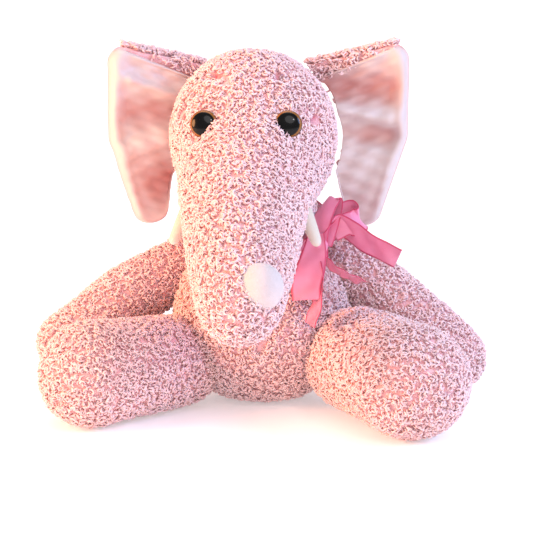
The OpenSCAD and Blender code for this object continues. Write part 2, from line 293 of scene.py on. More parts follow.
soft = {"Roughness": 0.85, "Sheen_Weight": 0.35, "Sheen_Roughness": 0.5, "Specular_IOR_Level": 0.2}
PILE = finish_of("pink_curly_pile", paint_pile, **soft)
GROUND = finish_of("pink_pile_ground", paint_ground, **soft)
print("plush finishes", PILE.name, GROUND.name)


# %% Velour and felt
def paint_velour(start):
    where = place_of(start)
    nap = noise(start, where, 1500, 3, 0.6)
    cloud = noise(start, where, 160, 2)
    colour = (nap * 0.3 + cloud * 0.7).clamp().mix(rgb(202, 186, 186), rgb(224, 211, 211))
    return {"Base_Color": colour, "Normal": bump(start, nap, 0.5, 0.0006)}


def paint_felt(start):
    where = place_of(start)
    fibre = noise(start, where, 1800, 4, 0.7)
    along = stored(start, "along")
    # Painted shade: the felt is darker up at the tusk's root, under the muzzle, and lighter towards its tip.
    felt_with_shade = (fibre * 0.5 + along * 0.6 - 0.1).clamp().mix(rgb(206, 192, 176), rgb(228, 220, 208))
    return {"Base_Color": felt_with_shade, "Normal": bump(start, fibre, 0.35, 0.0004)}


VELOUR = finish_of("white_velour", paint_velour, **soft)
FELT = finish_of("cream_felt", paint_felt, Roughness=0.9, Sheen_Weight=0.3)


# %% [markdown]
# ## Satin
#
# Satin has long loose threads along one side, so it shines in soft streaks. Its weave is far too fine to
# model, so a stretched noise along the cloth gives the threads: it varies the roughness, and it lightens the
# colour in streaks as a painted sheen. The ribbon's colour is darker along both edges, and a value across its
# width marks them.


# %% Satin finishes
def paint_lining(start):
    uv = start.node("ShaderNodeTexCoord", out=2)
    threads = start.node("ShaderNodeMapping", s0=uv, s3=(1.0, 14.0, 1.0))
    streak = noise(start, threads, 60, 3, 0.6)
    cloud = noise(start, place_of(start), 45, 2)
    # The streaks lighten the colour a little, as a painted sheen; the cloud is random tone.
    colour = (streak * 0.15 + cloud * 0.3 + 0.3).clamp().mix(rgb(208, 186, 182), rgb(226, 208, 205))
    # Painted shade: the hollows of the satin's folds are painted a darker warm pink.
    shade = stored(start, "hollow").clamp().mix(colour, rgb(200, 136, 130))
    rim = stored(start, "rim").step(0.0, 1.0)
    return {
        "Base_Color": rim.mix(shade, rgb(238, 190, 188)),
        "Roughness": 0.34 + 0.22 * streak,
        "Normal": bump(start, streak, 0.18, 0.0003),
    }


def paint_ribbon(start):
    uv = start.node("ShaderNodeTexCoord", out=2)
    threads = start.node("ShaderNodeMapping", s0=uv, s3=(60.0, 2.0, 1.0))
    streak = noise(start, threads, 9, 3, 0.6)
    # The ribbon's colour is darker along both edges.
    edge = stored(start, "edge").step(0.8, 0.97)
    cloud = noise(start, place_of(start), 110, 2)
    # Partly random tone and partly painted highlight: the cloud and the thread streaks lighten the pink up to
    # the satin's highlight colour.
    body = (streak * 0.5 + cloud * 0.8 - 0.15).clamp().mix(rgb(222, 104, 142), rgb(250, 172, 202))
    return {
        "Base_Color": edge.mix(body, rgb(206, 60, 100)),
        "Roughness": 0.3 + 0.2 * streak + 0.15 * edge,
        "Normal": bump(start, streak, 0.25, 0.0002),
    }


def paint_label(start):
    where = place_of(start)
    weave = noise(start, where, 1400, 1)
    return {
        "Base_Color": weave.mix(rgb(232, 232, 230), rgb(250, 250, 250)),
        "Normal": bump(start, weave, 0.3, 0.0002),
    }


LINING = finish_of("ear_satin", paint_lining, Sheen_Weight=0.4, Sheen_Roughness=0.3, Coat_Weight=0.08)
RIBBON = finish_of("ribbon_satin", paint_ribbon, Sheen_Weight=0.5, Sheen_Roughness=0.3)
LABEL = finish_of("label_cloth", paint_label, Roughness=0.6)


# %% [markdown]
# ## Eyes
#
# A safety eye is one clear plastic dome over a painted disc: a black pupil, an amber
# ring and a dark rim. The clear shell is the coat of the shader, and the disc is a
# pattern on the distance from the middle of the dome.


# %% Eye finishes
def paint_iris(start):
    ring, where = stored(start, "ring"), place_of(start)
    fleck = noise(start, where, 1300, 3, 0.6)
    amber = fleck.mix(rgb(84, 44, 20), rgb(186, 124, 58))
    inner = ring.step(0.80, 0.86).mix(rgb(4, 3, 3), amber)
    return {
        "Base_Color": ring.step(0.92, 0.99).mix(inner, rgb(24, 13, 9)),
        "Roughness": 0.18 + 0.1 * fleck,
    }


def paint_black(start):
    specks = noise(start, place_of(start), 900, 2)
    return {"Base_Color": specks.mix(rgb(10, 10, 11), rgb(22, 21, 22)), "Roughness": 0.3 + 0.15 * specks}


def paint_washer(start):
    specks = noise(start, place_of(start), 700, 2)
    return {"Base_Color": specks.mix(rgb(222, 222, 218), rgb(240, 240, 238)), "Roughness": 0.5 + 0.2 * specks}


clear = {"Coat_Weight": 0.6, "Coat_Roughness": 0.03, "Coat_IOR": 1.35, "Specular_IOR_Level": 0.1}
IRIS = finish_of("amber_eye", paint_iris, **clear)
BLACK = finish_of("black_eye", paint_black, Coat_Weight=0.4)
WASHER = finish_of("white_plastic", paint_washer)
print("finishes", len(bpy.data.materials))


# %% [markdown]
# ## A stuffed bag
#
# The bag of a limb is a round outline turned about a line. The outline of a limb is two arcs joined by a
# straight side that meets each arc along its tangent, so that no edge shows where they meet.
# Then the line may bow a little, and low waves give the lumps of hand-packed filling.


# %% Bag shapes
PILE_SINK = 1.8 * MM


def soften(row, width):
    """A moving average of the row, with weights that fall off as a bell of this width."""
    reach = int(3 * width)
    k = np.exp(-0.5 * (np.arange(-reach, reach + 1) / width) ** 2)
    padded = np.concatenate([2 * row[0] - row[reach:0:-1], row, 2 * row[-1] - row[-2 : -reach - 2 : -1]])
    return np.convolve(padded, k / k.sum(), "valid")


def even_outline(along, radius, rings):
    """The same outline with its points evenly spread along its length."""
    gone = np.concatenate([[0], np.cumsum(np.hypot(np.diff(along), np.diff(radius)))])
    even = np.linspace(0, gone[-1], rings)
    return np.interp(even, gone, along), np.interp(even, gone, radius)


def limb_outline(length, root_r, tip_r, rings):
    """Distance along, and radius: an arc of root_r, a straight side and an arc of tip_r."""
    turn = np.arccos((root_r - tip_r) / length)
    low = np.linspace(0, np.pi - turn, 200)
    high = np.linspace(np.pi - turn, np.pi, 200)
    along = np.concatenate([-root_r * np.cos(low), length - tip_r * np.cos(high)])
    radius = np.concatenate([root_r * np.sin(low), tip_r * np.sin(high)])
    return even_outline(along, radius, rings)


def turned(centres, dirs, radius, around):
    """Rings of points: each centre plus the radius times a circle square to its direction."""
    side = unit(np.cross(dirs, UP + np.array([0.02, 0.01, 0])))
    over = np.cross(side, dirs)
    angle = np.linspace(0, 2 * np.pi, around, endpoint=False)
    circle = np.cos(angle)[None, :, None] * side[:, None] + np.sin(angle)[None, :, None] * over[:, None]
    return centres[:, None] + radius[:, None, None] * circle


def lumps(points, size, seed):
    """Low waves from -1 to 1: the mean of six sines of random direction and phase."""
    rng = np.random.default_rng(seed)
    k = unit(rng.normal(size=(6, 3))) * 2 * np.pi / size
    phase = rng.uniform(0, 2 * np.pi, 6)
    return np.sin(points @ k.T + phase).mean(-1) * 1.6


def limb_bag(root, tip, root_r, tip_r, bow=(0, 0, 0), rings=56, around=72, seed=1, rough=0.9):
    """A limb's bag. Its line from root to tip bows by the vector bow, as half a sine wave."""
    span = tip - root
    length = np.linalg.norm(span)
    along, radius = limb_outline(length, root_r - PILE_SINK, tip_r - PILE_SINK, rings)
    part = np.clip(along / length, 0, 1)
    centres = root + along[:, None] * unit(span) + np.sin(np.pi * part)[:, None] * np.array(bow) * MM
    dirs = np.repeat(unit(span)[None], rings, 0)
    grid = turned(centres, dirs, radius, around)
    out = unit(grid - centres[:, None])
    return grid + out * (lumps(grid, 0.045, seed) * rough * MM)[..., None]


# %% [markdown]
# ## Curly pile
#
# Pile fabric is thousands of short curled yarns. Hair strands would be the usual way,
# but they can't be handed on as a plain mesh, so each curl is a thin tube of a few
# dozen faces: it rises from the cloth, turns round once or so, and dips back. We spread
# the curls evenly over the area of a bag, and work all of them out in one go.


# %% Spread points over a surface
def corners_of(grid, closed):
    """The triangles (n, 3, 3) of a grid of points, closed round its rings or not."""
    nxt = np.roll(grid, -1, 1) if closed else grid[:, 1:]
    g = grid if closed else grid[:, :-1]
    one = np.stack([g[:-1], nxt[:-1], nxt[1:]], -2).reshape(-1, 3, 3)
    two = np.stack([g[:-1], nxt[1:], g[1:]], -2).reshape(-1, 3, 3)
    return np.concatenate([one, two], 1).reshape(-1, 3, 3)


def spread(tris, spacing, rng):
    """Points and normals on the triangles, one for each square of the spacing, in even steps of area."""
    cross = np.cross(tris[:, 1] - tris[:, 0], tris[:, 2] - tris[:, 0])
    area = np.linalg.norm(cross, axis=1) / 2
    total = np.cumsum(area)
    count = max(1, int(total[-1] / spacing**2))
    pick = np.searchsorted(total, (np.arange(count) + rng.uniform(0, 1, count)) / count * total[-1])
    pick = np.minimum(pick, len(tris) - 1)
    u, v = np.sqrt(rng.uniform(0, 1, count)), rng.uniform(0, 1, count)
    w = np.stack([1 - u, u * (1 - v), u * v], -1)
    points = (tris[pick] * w[..., None]).sum(1)
    return points, unit(cross[pick])


# %% Curls
RINGS, SIDES = 6, 3


def curl_lines(base, out, rng, size, height):
    """Middle lines of curls (n, RINGS, 3): a turn of a ring of about size, lifted as half a sine."""
    n = len(base)
    t = np.linspace(0, 1, RINGS)
    over = unit(np.cross(out, rng.normal(size=(n, 3))))
    side = np.cross(out, over)
    begin = rng.uniform(0, 2 * np.pi, (n, 1))
    sweep = rng.uniform(3.2, 6.6, (n, 1)) * rng.choice([-1, 1], (n, 1))
    angle = begin + sweep * t
    wide = size * rng.uniform(0.65, 1.3, (n, 1)) * (0.75 + 0.5 * t)
    lift = height * rng.uniform(0.6, 1.25, (n, 1)) * np.sin(np.pi * (0.06 + 0.8 * t)) - 0.1 * height
    return (
        base[:, None]
        + (wide * (np.cos(angle) - np.cos(begin)))[..., None] * over[:, None]
        + (wide * (np.sin(angle) - np.sin(begin)))[..., None] * side[:, None]
        + lift[..., None] * out[:, None]
    )


def put_pile(name, base, out, seed, size=0.95 * MM, height=1.9 * MM, thick=0.55 * MM, material=PILE):
    """A mesh of curled tubes, with a lift from 0 at the cloth to 1 at the tips, and a tint for each."""
    rng = np.random.default_rng(seed)
    n = len(base)
    line = curl_lines(base, out, rng, size, height)
    ahead = unit(np.gradient(line, axis=1))
    one = unit(np.cross(ahead, out[:, None] + 0.15))
    two = np.cross(ahead, one)
    t = np.linspace(0, 1, RINGS)
    radius = thick * rng.uniform(0.75, 1.2, (n, 1)) * (1 - 0.75 * np.abs(2 * t - 1) ** 4)
    angle = np.linspace(0, 2 * np.pi, SIDES, endpoint=False)
    ring = np.cos(angle)[:, None] * one[:, :, None] + np.sin(angle)[:, None] * two[:, :, None]
    points = (line[:, :, None] + radius[..., None, None] * ring).reshape(-1, 3)
    points[:, 2] = np.maximum(points[:, 2], 0.3 * MM)
    k = np.arange(RINGS * SIDES).reshape(RINGS, SIDES)
    nxt = np.roll(k, -1, 1)
    quads = np.stack([k[:-1], nxt[:-1], nxt[1:], k[1:]], -1).reshape(-1, 4)
    shift = (np.arange(n) * RINGS * SIDES)[:, None, None]
    sides = (quads + shift).reshape(-1, 4)
    caps = np.concatenate([(k[0][::-1] + shift).reshape(-1, 3), (k[-1] + shift).reshape(-1, 3)])
    obj = put_mesh(name, points, sides.tolist() + caps.tolist(), material)
    lift = np.einsum("nrc,nc->nr", line - base[:, None], out) / height
    lift = np.repeat(np.clip(lift, 0, 1)[:, :, None], SIDES, 2)
    tint = np.repeat(rng.uniform(0, 1, n), RINGS * SIDES)
    store(obj, "lift", lift)
    store(obj, "tint", tint)
    map_curls(obj.data, n)
    print(name, n, "curls", len(obj.data.polygons), "faces")
    return obj


def map_curls(mesh, n):
    """The flat map: a small rectangle for each curl, its length across and its sides up."""
    across = int(np.ceil(np.sqrt(n)))
    cell = 1 / across
    row, side = np.meshgrid(np.arange(RINGS - 1), np.arange(SIDES), indexing="ij")
    row, side = row.ravel(), side.ravel()
    u = np.stack([row, row, row + 1, row + 1], -1) / (RINGS - 1)
    v = np.stack([side, side + 1, side + 1, side], -1) / SIDES
    one = np.stack([u, v], -1).reshape(-1, 2) * 0.8 + 0.1
    corner = np.stack([np.arange(n) % across, np.arange(n) // across], -1) * cell
    sides = (corner[:, None] + one * cell).reshape(-1, 2)
    tip = np.array([[0.0, 0.0], [1.0, 0.0], [0.0, 1.0]]) * 0.08
    caps = [(corner[:, None] + (tip + shift) * cell).reshape(-1, 2) for shift in (0.01, 0.91)]
    layer = mesh.uv_layers.new(name="OFBake")
    layer.data.foreach_set("uv", np.concatenate([sides, *caps]).astype(np.float32).ravel())


def cover(name, grid, rng_seed, keep=None, spacing=1.62 * MM, **curl):
    """The pile over a closed bag."""
    rng = np.random.default_rng(rng_seed)
    tris = corners_of(grid, True)
    points, normals = spread(tris, spacing, rng)
    middle = grid.reshape(-1, 3).mean(0)
    if np.mean(np.sum(normals * (points - middle), 1)) < 0:
        normals = -normals
    if keep is not None:
        kept = keep(points)
        points, normals = points[kept], normals[kept]
    return put_pile(name, points, normals, rng_seed + 50, **curl)


# %% [markdown]
# ## Body
#
# The body is a round belly with a smaller round chest above it, and a flat where it sits. We turn the same
# outline as the model's and lower it onto the flat softly.

# %% Body
low, high = box("body_cover")
belly_r = (high[0] - low[0]) / 2
belly = np.array([(low[0] + high[0]) / 2, (low[1] + high[1]) / 2, 0.0])
BELLY_Z, CHEST_UP, CHEST_R, SOFT_FOOT = 0.042, 0.019, 0.034, 6 * MM
belly[2] = BELLY_Z
chest = belly + [0, 0, CHEST_UP]
body_grid = limb_bag(belly, chest, belly_r, CHEST_R, rings=72, around=96, seed=3, rough=1.0)
floor_z = low[2] + 0.9 * MM
dip = body_grid[..., 2] - floor_z
eased = SOFT_FOOT * np.exp(np.minimum(dip, SOFT_FOOT) / SOFT_FOOT - 1)
body_grid[..., 2] = floor_z + np.where(dip > SOFT_FOOT, dip, eased)
body_grid[..., 2] = np.maximum(body_grid[..., 2], floor_z)
body_bag = put_bag("body_bag", body_grid, GROUND)
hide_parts("body_cover", "body_stuffing", "seat_bean_pouch")
body_front = cover("body_pile_front", body_grid, 11, keep=lambda p: p[:, 1] < 0)
body_back = cover("body_pile_back", body_grid, 12, keep=lambda p: p[:, 1] >= 0)
for piece in (body_bag, body_front, body_back):
    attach(piece, "body")

# %% [markdown]
# ## Arms and legs
#
# Each limb is its own bag, sewn to the body at its root. The root comes from the
# model's joint, and the end of the limb from the far corner of its box. The arms bow
# a little, since their filling lets them hang over the legs.


# %% Limbs
def far_end(node, root, radius):
    """The middle of a limb's round end: its box's far corner on each axis, drawn in by the radius."""
    low, high = box(node)
    toward_high = high - root > root - low
    return np.where(toward_high, high - radius, low + radius)


LIMBS = {
    "arm_left": ("arm_left_lift", 0.0175, 0.017, (2, 0, 1.5)),
    "arm_right": ("arm_right_lift", 0.0160, 0.017, (-2, 0, 1)),
    "leg_left": ("leg_left_swing", 0.025, 0.027, (0, 0, 0)),
    "leg_right": ("leg_right_swing", 0.023, 0.025, (0, 0, 0)),
}
REACH = {"arm_left": np.array([4.5, 0, -2.0]) * MM, "arm_right": np.array([-1.0, 0, 0]) * MM}
for number, (limb, (joint, root_r, tip_r, bow)) in enumerate(LIMBS.items()):
    root = PIVOT[joint]
    tip = far_end(limb + "_cover", root, tip_r) + REACH.get(limb, 0)
    grid = limb_bag(root, tip, root_r, tip_r, bow, seed=20 + number)
    bag = put_bag(limb + "_bag", grid, GROUND)
    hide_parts(limb + "_cover", limb + "_stuffing")
    pile = cover(limb + "_pile", grid, 30 + number)
    for piece in (bag, pile):
        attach(piece, limb)

# %% [markdown]
# ## Head and trunk
#
# The head, the muzzle and the trunk are one long bag. Its outline is a round skull that runs into a cone, and
# the cone ends in the round tip of the trunk. The cloth crosses the joint where the trunk bends, so the bag
# is attached to neither body.

# %% Head frame
TURN = np.radians(-5)
HEAD_SPIN = np.array([[np.cos(TURN), -np.sin(TURN), 0], [np.sin(TURN), np.cos(TURN), 0], [0, 0, 1]])
HEAD_MID = PIVOT["neck_turn"] + np.array([-2, -14, 42]) * MM


def from_head(points):
    """Points of the head's own frame, in millimetres, placed in the world in metres."""
    return HEAD_MID + (np.asarray(points, float) * MM) @ HEAD_SPIN.T


DROP = np.radians(30)
MUZZLE_DIR = np.array([0, -np.cos(DROP), -np.sin(DROP)])
MUZZLE_UP = np.array([0, -np.sin(DROP), np.cos(DROP)])
BEND = PIVOT["trunk_bend"]
HEAD_R, MUZZLE_R, MUZZLE_END_R, TRUNK_TIP_R = 42, 36.5, 31, 20
MUZZLE_ROOT = 16
BEND_AT, TRUNK_LEN = 51, 63
TRUNK_DIR = unit(HEAD_SPIN @ np.array([3, -63 * np.cos(np.radians(32)), -63 * np.sin(np.radians(32))]))
TRUNK_TIP = BEND + TRUNK_DIR * TRUNK_LEN * MM

# %% Head outline
s = np.linspace(-HEAD_R, BEND_AT + TRUNK_LEN + TRUNK_TIP_R, 1400)
skull = np.sqrt(np.maximum(HEAD_R**2 - s**2, 0))
muzzle_at = [14, 18, BEND_AT, BEND_AT + TRUNK_LEN + 4]
muzzle = np.interp(s, muzzle_at, [0, MUZZLE_R - 0.3, MUZZLE_END_R - 0.6, TRUNK_TIP_R - 0.4])
muzzle = np.where(s < 15, 0, muzzle)
tip_ball = np.sqrt(np.maximum(TRUNK_TIP_R**2 - (s - BEND_AT - TRUNK_LEN) ** 2, 0))
nose = np.where(s > BEND_AT + TRUNK_LEN + 4, tip_ball, np.maximum(muzzle, 0))
radius = np.maximum(skull, nose) - PILE_SINK / MM
inside = (s > -HEAD_R + 10) & (s < BEND_AT + TRUNK_LEN)
radius = np.where(inside, soften(radius, 28), radius)
radius = np.maximum(radius, 0)
good = np.flatnonzero(radius > 0)
s, radius = s[good[0] : good[-1] + 1], radius[good[0] : good[-1] + 1]
radius[0] = radius[-1] = 0
s, radius = even_outline(s, radius, 150)
head_dir = HEAD_SPIN @ MUZZLE_DIR
line = np.where(
    (s < BEND_AT)[:, None],
    HEAD_MID + s[:, None] * MM * head_dir,
    BEND + (s - BEND_AT)[:, None] * MM * TRUNK_DIR,
)
along = np.clip((s - 35) / 32, 0, 1)[:, None]
dirs = unit(head_dir * (1 - along) + TRUNK_DIR * along)
head_grid = turned(line, dirs, radius * MM, 112)
out = unit(head_grid - line[:, None])
head_grid = head_grid + out * (lumps(head_grid, 0.05, 41) * 0.9 * MM)[..., None]
print("head rings", head_grid.shape)


# %% [markdown]
# The eyes pull the cloth in, so each sits in a shallow dent, and a stitched crease runs
# round the outer and upper side of it. A crease is a groove along a ring round the eye.


# %% Eye places and creases
EYE_ALONG, EYE_ROUND, EYE_R = 23.3, np.radians(51.5), 6.5 * MM


def eye_place(side):
    """The middle of an eye's seat and the way it looks, from the same sizes as the model's."""
    lean = (MUZZLE_R - MUZZLE_END_R) / (BEND_AT - MUZZLE_ROOT)
    at, up_angle = EYE_ALONG, EYE_ROUND
    seat = MUZZLE_R - (at - MUZZLE_ROOT) * lean
    across = np.array([side * np.cos(up_angle), 0, 0]) + np.sin(up_angle) * MUZZLE_UP
    look = lean * MUZZLE_DIR + np.sqrt(1 - lean**2) * across
    return from_head(at * MUZZLE_DIR + seat * look), HEAD_SPIN @ look


def eye_look(side, square):
    """The way a dome looks: nearly to the front, and only a little along its seat's own direction."""
    return unit(0.12 * square + 0.88 * (HEAD_SPIN @ unit(np.array([-side * 0.04, -1.0, 0.06]))))


# Each eye is set further in and deeper than its seat in the model.
EYES = {}
for side in (1, -1):
    middle, square = eye_place(side)
    inward = HEAD_SPIN @ np.array([-side * 2.6, 0.9, 0]) * MM
    EYES[side] = (middle + inward, eye_look(side, square))


def crease_amount(points):
    """1 on the line of a crease: an arc seen from the front, over and outside the eye. 0 away from it."""
    found = np.zeros(points.shape[:-1])
    for side, (middle, _) in EYES.items():
        off = (points - middle) @ HEAD_SPIN / MM
        across, rise = side * off[..., 0] + 3.0, off[..., 2] - 7.0
        reach, angle = np.hypot(across, rise), np.degrees(np.arctan2(rise, across))
        part = np.clip((angle + 34) / 14, 0, 1) * np.clip((112 - angle) / 16, 0, 1)
        near = (np.abs(off[..., 1]) < 22) & (off[..., 1] < 18)
        found = np.maximum(found, np.exp(-(((reach - 14.3) / 1.8) ** 2)) * part * near)
    return found


def press_face(points, outward):
    """Points of the head: set flat behind each eye, and sunk along the creases."""
    for side, (middle, look) in EYES.items():
        away = points - middle
        across = side * (away @ HEAD_SPIN[:, 0]) / MM
        flat = np.exp(-((np.linalg.norm(away, axis=-1) / (8.5 * MM)) ** 2)) * np.clip((across + 5) / 5, 0, 1)
        points = points - ((away @ look + 0.8 * MM) * flat)[..., None] * look
    return points - outward * (2.6 * MM * crease_amount(points))[..., None]


above = np.clip((head_grid[..., 2] - HEAD_MID[2] - 8 * MM) / (30 * MM), 0, 1)
head_grid[..., 2] += 2.2 * MM * above**2
wide = (head_grid - line[:, None]) @ HEAD_SPIN[:, 0]
head_grid = head_grid - (0.035 * wide)[..., None] * HEAD_SPIN[:, 0]
head_grid = press_face(head_grid, out)
head_bag = put_bag("head_bag", head_grid, GROUND)
# How near each point is to a crease: the amount of painted shade in the ground's colour.
store(head_bag, "crease_shade", crease_amount(bag_points(head_grid)))
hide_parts("head_cover", "head_stuffing", "trunk_cover", "trunk_stuffing")


# %% Head pile
def along_head(points):
    """How far points lie along the muzzle's line from the skull's middle, in metres."""
    return (points - HEAD_MID) @ head_dir


def off_eyes(points):
    """Leaves the eyes and the lines of the creases bare."""
    clear = crease_amount(points) < 0.12
    for side, (middle, _) in EYES.items():
        away = points - middle
        inner = side * (away @ HEAD_SPIN[:, 0]) < -1.2 * MM
        clear &= (np.linalg.norm(away, axis=1) > 6.2 * MM) | inner
    return clear


EDGE_A, EDGE_B = 0.008, 0.058
parts = {
    "head_pile_back": lambda p: along_head(p) < EDGE_A,
    "head_pile_front": lambda p: (along_head(p) >= EDGE_A) & (along_head(p) < EDGE_B),
    "trunk_pile": lambda p: along_head(p) >= EDGE_B,
}
START, END = tuple(BEND - 0.014 * head_dir), tuple(BEND + 0.014 * TRUNK_DIR)
for number, (name, keep) in enumerate(parts.items()):
    pile = cover(
        name,
        head_grid,
        60 + number,
        keep=lambda p, keep=keep: keep(p) & off_eyes(p),
        spacing=1.6 * MM,
    )
    if name == "head_pile_back":
        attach(pile, "head")
    else:
        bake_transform(pile)
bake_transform(head_bag)

# %% [markdown]
# ## Neck
#
# Below the skull a short round neck sits in the top of the body. It meets the head at its top and the body at
# its bottom, so it too is attached to neither.

# %% Neck
neck = PIVOT["neck_turn"]
neck_grid = limb_bag(neck, neck + np.array([-0.5, -2, 9]) * MM, 0.030, 0.030, rings=30, around=64, seed=8)
neck_bag = put_bag("neck_bag", neck_grid, GROUND)
neck_pile = cover("neck_pile", neck_grid, 71, keep=lambda p: p[:, 2] > 0.088)
for piece in (neck_bag, neck_pile):
    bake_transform(piece)

# %% [markdown]
# ## Eyes, tusks and nub
#
# The domes of the eyes are shallow caps, with the distance from their middle stored for
# the iris. The tusks are felt cones that curve a little. The velour nub is a soft pad
# with a nap too short to model, so the bump of its finish stands in for it.


# %% Eyes
def dome_grid(middle, look, radius, rings=24, around=48):
    """Rings of a lens: a cap of height half its radius over a short flat back."""
    t = np.linspace(0, 1, rings)
    lift = np.where(t < 0.8, 0.5 * radius * np.cos(np.pi / 2 * (t / 0.8) ** 1.1), -0.06 * radius)
    wide = np.where(t < 0.8, radius * np.sin(np.pi / 2 * t / 0.8), radius * (1 - t) / 0.2)
    centres = middle + (lift[:, None] + 0.9 * MM) * look
    return turned(centres, np.repeat(look[None], rings, 0), wide, around)


for side, name in ((1, "left"), (-1, "right")):
    middle, look = EYES[side]
    grid = dome_grid(middle, look, EYE_R)
    eye = put_bag(f"eye_{name}", grid, IRIS)
    away = points_of(eye) - middle
    store(eye, "ring", np.linalg.norm(away - (away @ look)[:, None] * look, axis=1) / EYE_R)
    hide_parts(f"eye_{name}_dome")
    shank_at = np.array([1.4, 1.35, 1.2, 0.2, 0.1, 0.0, -11.5, -11.8]) * MM
    shank_r = np.array([0.0, 5.0, 6.2, 6.2, 5.4, 1.9, 1.9, 0.0]) * MM
    where = middle + (shank_at[:, None] - 0.4 * MM) * look
    back = put_bag(f"eye_{name}_back", turned(where, np.repeat(look[None], 8, 0), shank_r, 40), BLACK)
    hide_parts(f"eye_{name}_base")
    for piece, slot in ((eye, "amber_eye"), (back, "black_eye")):
        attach(piece, "head")
    solid = frame["nodes"][f"eye_{name}_washer"]
    solid.data.materials.clear()
    solid.data.materials.append(WASHER)
print("eyes at", [np.round(EYES[k][0], 4).tolist() for k in EYES])


# %% Tusks
def tusk_grid(side, rings=40, around=40):
    """A cone whose line curves inwards: radius falls from root to tip, and rounds off at the end."""
    root = np.array([side * 25.4, -38.5, -28.5])
    down = unit(np.array([side * 7.2, -4.5, -13]))
    t = np.linspace(0, 1, rings)
    length = 20.0
    bend = np.array([-side * 1.2, -1.2, 0])
    centres = root + (t * length)[:, None] * down + (t**2)[:, None] * bend
    dirs = unit(np.gradient(centres, axis=0))
    rounded = np.sqrt(np.clip(1 - ((t - 0.86) / 0.14).clip(0) ** 2, 0, 1)) * np.clip(t / 0.04, 0, 1)
    wide = (4.4 - 2.2 * t) * rounded
    return turned(from_head(centres), unit(dirs @ HEAD_SPIN.T), wide * MM, around)


for side, name in ((1, "left"), (-1, "right")):
    grid = tusk_grid(side)
    tusk = put_bag(f"tusk_{name}_felt", grid, FELT)
    height = points_of(tusk)[:, 2]
    # The value for the painted shade: 0 at the top of the tusk, by the head, and 1 at its lowest point.
    store(tusk, "along", 1 - (height - height.min()) / np.ptp(height))
    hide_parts(f"tusk_{name}")
    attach(tusk, "head")

# %% Velour nub
nub_dir = unit(HEAD_SPIN @ np.array([0.72, -0.78, 0.43]))
nub_mid = TRUNK_TIP + nub_dir * (TRUNK_TIP_R - 5.5) * MM
nub_ends = nub_mid - 0.002 * nub_dir, nub_mid + 0.0005 * nub_dir
nub_grid = limb_bag(*nub_ends, 0.0125, 0.0118, rings=40, around=56, seed=9, rough=0.3)
nub = put_bag("trunk_nub", nub_grid, VELOUR)
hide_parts("trunk_tip_patch")
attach(nub, "trunk")

# %% [markdown]
# ## Ears
#
# An ear is two layers sewn round their edge: curly pile behind, and satin in front. We
# take its outline from the hinge line at the head to the outer rim, as a grid of lines
# from root to rim. Waves in its depth make the folds of the loose satin.


# %% Ear outline
EAR_BACK, EAR_TOP, EAR_DROP, EAR_W = 14.0, 47.0, 43.0, 35.0
HINGE_R = np.sqrt(HEAD_R**2 - EAR_BACK**2) + 3.4
EAR_TIP_X = -(np.sqrt(HEAD_R**2 - EAR_BACK**2) + EAR_W - 7)


def ear_rim(count, band):
    """The outer edge from the top of the hinge round to its bottom: arcs of the corners joined up."""
    top = HINGE_R * np.array([np.cos(np.radians(128)), np.sin(np.radians(128))])
    low = HINGE_R * np.array([np.cos(np.radians(200)), np.sin(np.radians(200))])
    discs = [
        (top - [0, band], 3.5, 62, 100),
        ((EAR_TIP_X, EAR_TOP - 7 - 0.15 * band), 7.0, 100, 180),
        ((EAR_TIP_X, 2.0), 7.0, 180, 205),
        ((EAR_TIP_X + 14, 9 - EAR_DROP), 9.0, 205, 330),
    ]
    arcs = []
    for middle, r, a0, a1 in discs:
        a = np.radians(np.linspace(a0, a1, 24))
        arcs.append(np.array(middle) + r * np.stack([np.cos(a), np.sin(a)], -1))
    line = np.concatenate([*arcs, low[None]])
    gone = np.concatenate([[0], np.cumsum(np.linalg.norm(np.diff(line, axis=0), axis=1))])
    even = np.linspace(0, gone[-1], count)
    return np.stack([np.interp(even, gone, line[:, i]) for i in (0, 1)], -1)


def ear_grid(cols, rows, band=0.0):
    """Points (cols, rows, 2): straight lines from the hinge's arc to the rim, part by part.
    The top edge may be lowered by a band at the head, where the pile shows above the satin."""
    angle = np.radians(np.linspace(128 + 1.2 * band, 200, cols))
    root = HINGE_R * np.stack([np.cos(angle), np.sin(angle)], -1)
    rim = ear_rim(cols, band)
    t = np.linspace(0, 1, rows)[None, :, None]
    return root[:, None] * (1 - t) + rim[:, None] * t


def swept(side, flat, depth):
    """Flat points (x, z) and a depth to the front, swept about the hinge and put on the head."""
    sweep = np.radians(6.0 if side > 0 else 30.0)
    at = np.array([HINGE_R * np.cos(np.radians(200)), EAR_BACK, HINGE_R * np.sin(np.radians(200))])
    top = np.array([HINGE_R * np.cos(np.radians(128)), EAR_BACK, HINGE_R * np.sin(np.radians(128))])
    k = unit(top - at)
    q = np.stack([flat[..., 0], EAR_BACK - depth, flat[..., 1]], -1) - at
    spun = q * np.cos(sweep) + np.cross(k, q) * np.sin(sweep) + k * (q @ k)[..., None] * (1 - np.cos(sweep))
    out = spun + at
    out[..., 0] *= -side
    return from_head(out)


# %% Ear folds
def bell(v, middle, width):
    return np.exp(-(((v - middle) / width) ** 2))


